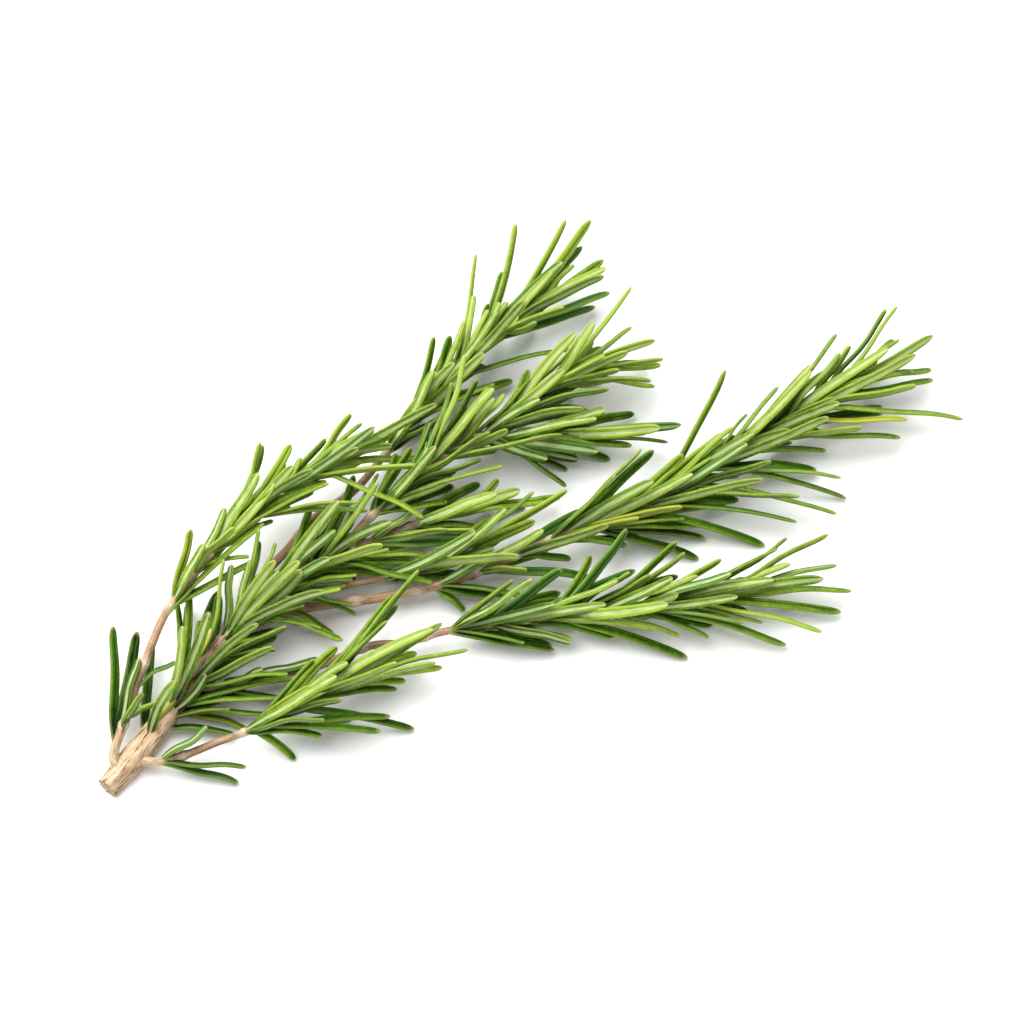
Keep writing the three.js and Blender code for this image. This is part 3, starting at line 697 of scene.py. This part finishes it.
# Adds a node. Settings are inputs or properties by name, and "stops" are a ramp's places and colours.
def addNode(tree, kind, settings=None, links=None):
    node = tree.nodes.new(kind)
    for key, value in (settings or {}).items():
        if key == "stops":
            elements = node.color_ramp.elements
            while len(elements) < len(value):
                elements.new(0.5)
            for element, (position, colour) in zip(elements, value):
                element.position = position
                element.color = linear(colour)
        elif key in node.inputs.keys() or isinstance(key, int):
            node.inputs[key].default_value = value
        else:
            setattr(node, key, value)
    for key, source in (links or {}).items():
        tree.links.new(source, node.inputs[key])
    return node


def newMaterial(name):
    material = bpy.data.materials.new(name)
    material.use_nodes = True
    tree = material.node_tree
    tree.nodes.clear()
    return material, tree


def grainTexture(tree, grain, size, stretch):  # noise drawn out along a stem or a leaf
    stretched = addNode(tree, "ShaderNodeVectorMath", {"operation": "MULTIPLY", 1: (1, 1, stretch)},
                        {0: grain})
    return addNode(tree, "ShaderNodeTexNoise", {"Scale": perMm(size), "Detail": 5.0, "Roughness": 0.6},
                   {"Vector": stretched.outputs["Vector"]}).outputs["Fac"]


# Rosemary leaf: waxy and a little glossy above, with painted shade along its groove and a painted highlight
# on its rolled edges, which is what draws each leaf as fine stripes. White felt shows between the edges
# underneath.
# Each fade says where a colour begins and is fullest, and how far it covers what is under it.
leafFinish = {
    "oldAndShaded": "#081d00",
    "mid": "#3d6509",
    "young": "#8ca434",
    "blue": "#3f6a2a",
    "yellow": "#b7a433",
    # painted shade along the groove of the upper side
    "groove": "#142e03",
    # painted highlight along the rolled edges
    "edge": "#a1b654",
    "foot": "#b4ba69",
    "tip": "#bdb866",
    "felt": "#cad39f",
    "feltShade": "#94aa60",
    "roughAbove": 0.36,
    "roughBelow": 0.9,
    "sheen": 0.14,
    "mottle": 4.0,  # mm between paler and darker patches
    "streak": 0.3,  # mm, coarser than the real 0.1 so that it shows
    "streakStretch": 0.08,
    "pebble": 0.5,  # mm, coarser than the real 0.2 so that it shows
    "pebbleStretch": 0.6,
    "down": 0.16,  # mm between tufts at the felt's border
    "bump": 0.08 * mm,
    "ior": 1.45,
    "shares": {"age": 0.3, "mottle": 0.5, "streak": 0.5, "pebble": 0.8},
    "depthFade": {"From Min": 1.0, "From Max": 2.0},
    "blueFade": {"From Min": 0.2, "From Max": 0.05, "To Max": 0.8},
    "yellowFade": {"From Min": 0.985, "From Max": 1.0, "To Max": 0.55},
    # these two fades lay the groove's painted shade and the edges' painted highlight across the leaf
    "grooveFade": {"From Min": 0.3, "From Max": 0.02, "To Max": 0.7},
    "edgeFade": {"From Min": 0.7, "From Max": 1.0, "To Max": 0.32},
    "footFade": {"From Min": 0.1, "From Max": 0.0, "To Max": 0.6},
    "tipFade": {"From Min": 0.95, "From Max": 1.0, "To Max": 0.6},
    "feltFade": {"From Min": 0.1, "From Max": 1.0, "To Max": 0.74},
    "feltRagged": {"operation": "MULTIPLY_ADD", 1: 0.3, 2: -0.15},  # evenly to both sides of the border
    "softness": {"Subsurface Weight": 0.05, "Subsurface Scale": 0.5 * mm, "Subsurface Radius": (0.5, 1, 0.2)},
}


def leafMaterial():
    f = leafFinish
    material, tree = newMaterial("waxyRosemaryLeaf")
    place = addNode(tree, "ShaderNodeAttribute", {"attribute_name": "leafPlace"}).outputs["Vector"]
    toneAndShade = addNode(tree, "ShaderNodeAttribute", {"attribute_name": "leafTone"}).outputs["Vector"]
    blade = addNode(tree, "ShaderNodeAttribute", {"attribute_name": "leafBlade"}).outputs["Vector"]
    across, along, under = addNode(tree, "ShaderNodeSeparateXYZ", {}, {0: place}).outputs
    shade, odd, share = addNode(tree, "ShaderNodeSeparateXYZ", {}, {0: toneAndShade}).outputs
    mottle = addNode(tree, "ShaderNodeTexNoise", {"Scale": perMm(f["mottle"]), "Detail": 3.0},
                     {"Vector": blade}).outputs["Fac"]
    drawn = addNode(tree, "ShaderNodeVectorMath", {"operation": "MULTIPLY", 1: (1, 1, f["streakStretch"])},
                    {0: blade}).outputs["Vector"]
    streak = addNode(tree, "ShaderNodeTexNoise", {"Scale": perMm(f["streak"]), "Detail": 2.0},
                     {"Vector": drawn}).outputs["Fac"]
    pebble = grainTexture(tree, blade, f["pebble"], f["pebbleStretch"])
    down = addNode(tree, "ShaderNodeTexNoise", {"Scale": perMm(f["down"]), "Detail": 2.0},
                   {"Vector": blade}).outputs["Fac"]

    # each leaf has its own green, paler toward the shoot's tip, a little uneven and finely streaked, with
    # painted shade and light on top: leaves low down and at their feet are painted darker, leaves higher up
    # paler
    depth = shade
    for name, value in (("age", share), ("mottle", mottle), ("streak", streak), ("pebble", pebble)):
        depth = addNode(tree, "ShaderNodeMath", {"operation": "MULTIPLY_ADD", 1: f["shares"][name]},
                        {0: value, 2: depth}).outputs[0]
    fade = addNode(tree, "ShaderNodeMapRange", f["depthFade"], {"Value": depth}).outputs[0]
    # the darkest stop carries the painted shade as well as the darker green of older leaves
    green = addNode(tree, "ShaderNodeValToRGB",
                    {"stops": [(0.0, f["oldAndShaded"]), (0.5, f["mid"]), (1.0, f["young"])]},
                    {"Fac": fade}).outputs["Color"]

    # odd leaves are bluish or yellowed, and all have painted shade along the groove, a painted highlight on
    # the rolled edges, and a pale foot and tip
    distance = addNode(tree, "ShaderNodeMath", {"operation": "ABSOLUTE"}, {0: across}).outputs[0]
    skin = green
    for name, value in (("blue", odd), ("yellow", odd), ("groove", distance), ("edge", distance),
                        ("foot", along), ("tip", along)):
        fade = addNode(tree, "ShaderNodeMapRange", f[name + "Fade"], {"Value": value}).outputs[0]
        skin = addNode(tree, "ShaderNodeMix", {"data_type": "RGBA", 7: linear(f[name])},
                       {"Factor": fade, 6: skin}).outputs[2]

    # felt between the rolled edges, with a ragged border
    felt = addNode(tree, "ShaderNodeValToRGB", {"stops": [(0.3, f["feltShade"]), (0.6, f["felt"])]},
                   {"Fac": streak}).outputs["Color"]
    ragged = addNode(tree, "ShaderNodeMath", f["feltRagged"], {0: down}).outputs[0]
    covered = addNode(tree, "ShaderNodeMath", {"operation": "ADD", "use_clamp": True},
                      {0: under, 1: ragged}).outputs[0]
    mask = addNode(tree, "ShaderNodeMapRange", f["feltFade"], {"Value": covered}).outputs[0]
    colour = addNode(tree, "ShaderNodeMix", {"data_type": "RGBA"}, {"Factor": mask, 6: skin, 7: felt})
    rough = addNode(tree, "ShaderNodeMapRange", {"To Min": f["roughAbove"], "To Max": f["roughBelow"]},
                    {"Value": mask})
    relief = addNode(tree, "ShaderNodeMath", {"operation": "ADD"}, {0: streak, 1: pebble})
    bump = addNode(tree, "ShaderNodeBump", {"Strength": 0.5, "Distance": f["bump"]},
                   {"Height": relief.outputs[0]})
    shader = addNode(tree, "ShaderNodeBsdfPrincipled",
                     {"IOR": f["ior"], "Specular IOR Level": f["sheen"], **f["softness"]},
                     {"Base Color": colour.outputs[2], "Roughness": rough.outputs[0],
                      "Normal": bump.outputs["Normal"]})
    addNode(tree, "ShaderNodeOutputMaterial", {}, {"Surface": shader.outputs["BSDF"]})
    return material


# Rosemary wood: dull, fibrous tan bark with dark cracks that catch the shadow, and pale wood at the cut
barkFinish = {
    "dark": "#463220",
    "mid": "#a88767",
    "pale": "#d2b998",
    "wood": "#d8c19b",
    "woodRing": "#ab8c64",
    "fibre": 0.4,  # mm between fibres
    "patch": 2.5,  # mm between flakes
    "stretch": 0.12,
    "patchStretch": 0.4,
    "bump": 0.5 * mm,
    "rough": 0.85,
    "patchShare": 0.6,
    "tintShare": 0.62,
    "awayFromCutFade": {"From Min": 0.25, "From Max": 0.6, "To Max": 0.55},
}


def barkMaterial():
    f = barkFinish
    material, tree = newMaterial("fibrousRosemaryBark")
    grain = addNode(tree, "ShaderNodeAttribute", {"attribute_name": "stemGrain"}).outputs["Vector"]
    place = addNode(tree, "ShaderNodeAttribute", {"attribute_name": "stemPlace"}).outputs["Vector"]
    run, _, cut = addNode(tree, "ShaderNodeSeparateXYZ", {}, {0: place}).outputs
    fibre = grainTexture(tree, grain, f["fibre"], f["stretch"])
    patch = grainTexture(tree, grain, f["patch"], f["patchStretch"])
    streak = addNode(tree, "ShaderNodeMath", {"operation": "MULTIPLY_ADD", 1: f["patchShare"]},
                     {0: patch, 2: fibre}).outputs[0]
    tint = addNode(tree, "ShaderNodeMath", {"operation": "MULTIPLY", 1: f["tintShare"]}, {0: streak})
    bark = addNode(tree, "ShaderNodeValToRGB",
                   {"stops": [(0.395, f["dark"]), (0.45, f["mid"]), (0.57, f["pale"])]},
                   {"Fac": tint.outputs[0]}).outputs["Color"]
    # the bark turns darker brown away from the cut end, toward the stem's thin part
    awayFromCut = addNode(tree, "ShaderNodeMapRange", f["awayFromCutFade"], {"Value": run})
    darkenedAway = addNode(tree, "ShaderNodeMix", {"data_type": "RGBA", 7: linear(f["dark"])},
                      {"Factor": awayFromCut.outputs[0], 6: bark}).outputs[2]
    wood = addNode(tree, "ShaderNodeValToRGB", {"stops": [(0.35, f["woodRing"]), (0.6, f["wood"])]},
                   {"Fac": fibre}).outputs["Color"]
    colour = addNode(tree, "ShaderNodeMix", {"data_type": "RGBA"}, {"Factor": cut, 6: darkenedAway, 7: wood})
    bump = addNode(tree, "ShaderNodeBump", {"Strength": 0.8, "Distance": f["bump"]}, {"Height": fibre})
    shader = addNode(tree, "ShaderNodeBsdfPrincipled", {"Roughness": f["rough"], "IOR": 1.5},
                     {"Base Color": colour.outputs[2], "Normal": bump.outputs["Normal"]})
    addNode(tree, "ShaderNodeOutputMaterial", {}, {"Surface": shader.outputs["BSDF"]})
    return material


# Young stems: downy, tan brown at the foot and grey green toward the tip, with paler down that
# gathers at the joints and makes them look dusty
youngFinish = {
    "collar": "#c4ab89",
    "foot": "#a67d5a",
    "middle": "#a48262",
    "top": "#8a965d",
    "felt": "#d1c1aa",
    "dark": "#62432d",
    "fibre": 0.5,  # mm between the darker lines of the skin
    "fibreStretch": 0.15,
    "down": 0.25,  # mm, coarser than the real 0.05 so that it shows
    "downStretch": 0.5,
    "bump": 0.1 * mm,
    "rough": 0.8,
    "darkFade": {"From Min": 0.52, "From Max": 0.38, "To Max": 0.7},
    "downFade": {"From Min": 0.45, "From Max": 0.65, "To Max": 0.4},
    "fleckFade": {"From Min": 0.38, "From Max": 0.58, "To Min": 0.2},
}


def youngStemMaterial():
    f = youngFinish
    material, tree = newMaterial("downyYoungStem")
    grain = addNode(tree, "ShaderNodeAttribute", {"attribute_name": "stemGrain"}).outputs["Vector"]
    place = addNode(tree, "ShaderNodeAttribute", {"attribute_name": "stemPlace"}).outputs["Vector"]
    run, joint, collar = addNode(tree, "ShaderNodeSeparateXYZ", {}, {0: place}).outputs
    young = addNode(tree, "ShaderNodeValToRGB",
                    {"stops": [(0.0, f["foot"]), (0.5, f["middle"]), (0.9, f["top"])]},
                    {"Fac": run}).outputs["Color"]
    base = addNode(tree, "ShaderNodeMix", {"data_type": "RGBA", 7: linear(f["collar"])},
                   {"Factor": collar, 6: young}).outputs[2]
    fibre = grainTexture(tree, grain, f["fibre"], f["fibreStretch"])
    down = grainTexture(tree, grain, f["down"], f["downStretch"])
    dark = addNode(tree, "ShaderNodeMapRange", f["darkFade"], {"Value": fibre})
    streaked = addNode(tree, "ShaderNodeMix", {"data_type": "RGBA", 7: linear(f["dark"])},
                       {"Factor": dark.outputs[0], 6: base}).outputs[2]
    pale = addNode(tree, "ShaderNodeMapRange", f["downFade"], {"Value": down})
    flecks = addNode(tree, "ShaderNodeMapRange", f["fleckFade"], {"Value": down})
    dusty = addNode(tree, "ShaderNodeMath", {"operation": "MULTIPLY"}, {0: joint, 1: flecks.outputs[0]})
    cover = addNode(tree, "ShaderNodeMath", {"operation": "MAXIMUM"},
                    {0: pale.outputs[0], 1: dusty.outputs[0]})
    colour = addNode(tree, "ShaderNodeMix", {"data_type": "RGBA", 7: linear(f["felt"])},
                     {"Factor": cover.outputs[0], 6: streaked})
    bump = addNode(tree, "ShaderNodeBump", {"Strength": 0.5, "Distance": f["bump"]}, {"Height": down})
    shader = addNode(tree, "ShaderNodeBsdfPrincipled", {"Roughness": f["rough"], "IOR": 1.45},
                     {"Base Color": colour.outputs[2], "Normal": bump.outputs["Normal"]})
    addNode(tree, "ShaderNodeOutputMaterial", {}, {"Surface": shader.outputs["BSDF"]})
    return material


leafSkin = leafMaterial()
bark = barkMaterial()
youngBark = youngStemMaterial()
print("materials made")

trunk = shoots["woody_stem"][0]
for (name, stems), leaves in zip(shoots.items(), placed):
    draw = makeDraw(stems[0]["seed"] + leafShape["seedStep"])
    foliage = joinMeshes(name + "_leaves", [leafMesh(leaf, draw) for leaf in leaves])
    foliage.data.materials.append(leafSkin)
    parents = [None if name == "woody_stem" else trunk] + stems[:1]  # a second stem forks from the first
    stemPiece = joinMeshes(name + "_stem", [stemMesh(*pair) for pair in zip(stems, parents)])
    stemPiece.data.materials.append(bark if name == "woody_stem" else youngBark)
    for piece in (foliage, stemPiece):
        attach(piece, "root")
        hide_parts(name)
    print(name, len(foliage.data.polygons), "leaf faces,", len(stemPiece.data.polygons), "stem faces")


# A white table under soft studio light, and the camera at the photograph's viewing angle
studio = {
    "floorColour": "#f4f4f4",
    "floorRough": 0.9,
    "floorSize": 6.0,
    "elevation": 65.0,
    "lens": 200.0,
    "sensor": 36.0,
    "frameWidth": 240.6 * mm,
    "target": (-5.9 * mm, -1.9 * mm, 5 * mm),
    "worldStrength": 0.7,
    "keyPlace": (-0.5, 0.42, 1.3),
    "keySize": 1.5,
    "keyPower": 41.0,
}


def makeStudio():
    s = studio
    bpy.ops.mesh.primitive_plane_add(size=s["floorSize"])
    floor = bpy.context.object
    floor.name = "paleFloor"
    floor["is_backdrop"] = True
    material, tree = newMaterial("mattWhiteTable")
    shader = addNode(tree, "ShaderNodeBsdfPrincipled", {"Base Color": linear(s["floorColour"]),
                                                        "Roughness": s["floorRough"]})
    addNode(tree, "ShaderNodeOutputMaterial", {}, {"Surface": shader.outputs["BSDF"]})
    floor.data.materials.append(material)

    world = bpy.data.worlds.new("softWhiteRoom")
    world.use_nodes = True
    world.node_tree.nodes["Background"].inputs["Color"].default_value = (1, 1, 1, 1)
    world.node_tree.nodes["Background"].inputs["Strength"].default_value = s["worldStrength"]
    bpy.context.scene.world = world

    keyData = bpy.data.lights.new("softKey", "AREA")
    keyData.size = s["keySize"]
    keyData.energy = s["keyPower"]
    key = bpy.data.objects.new("softKey", keyData)
    key.location = s["keyPlace"]
    key.rotation_euler = (-Vector(s["keyPlace"])).to_track_quat("-Z", "Y").to_euler()
    bpy.context.scene.collection.objects.link(key)


def makeCamera():
    s = studio
    cameraData = bpy.data.cameras.new("camera")
    cameraData.sensor_width = s["sensor"]
    cameraData.lens = s["lens"]
    away = s["frameWidth"] * s["lens"] / cameraData.sensor_width
    tilt = math.radians(s["elevation"])
    camera = bpy.data.objects.new("camera", cameraData)
    back = Vector((0, -math.cos(tilt), math.sin(tilt)))
    camera.location = Vector(s["target"]) + back * away
    camera.rotation_euler = (-back).to_track_quat("-Z", "Y").to_euler()
    bpy.context.scene.collection.objects.link(camera)
    bpy.context.scene.camera = camera


makeStudio()
makeCamera()
bpy.context.scene.view_settings.view_transform = "Standard"
print("studio and camera made")

boxes = {"cad": cadBox, "visual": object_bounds()}
{key: [list(corner) for corner in box] for key, box in boxes.items()}
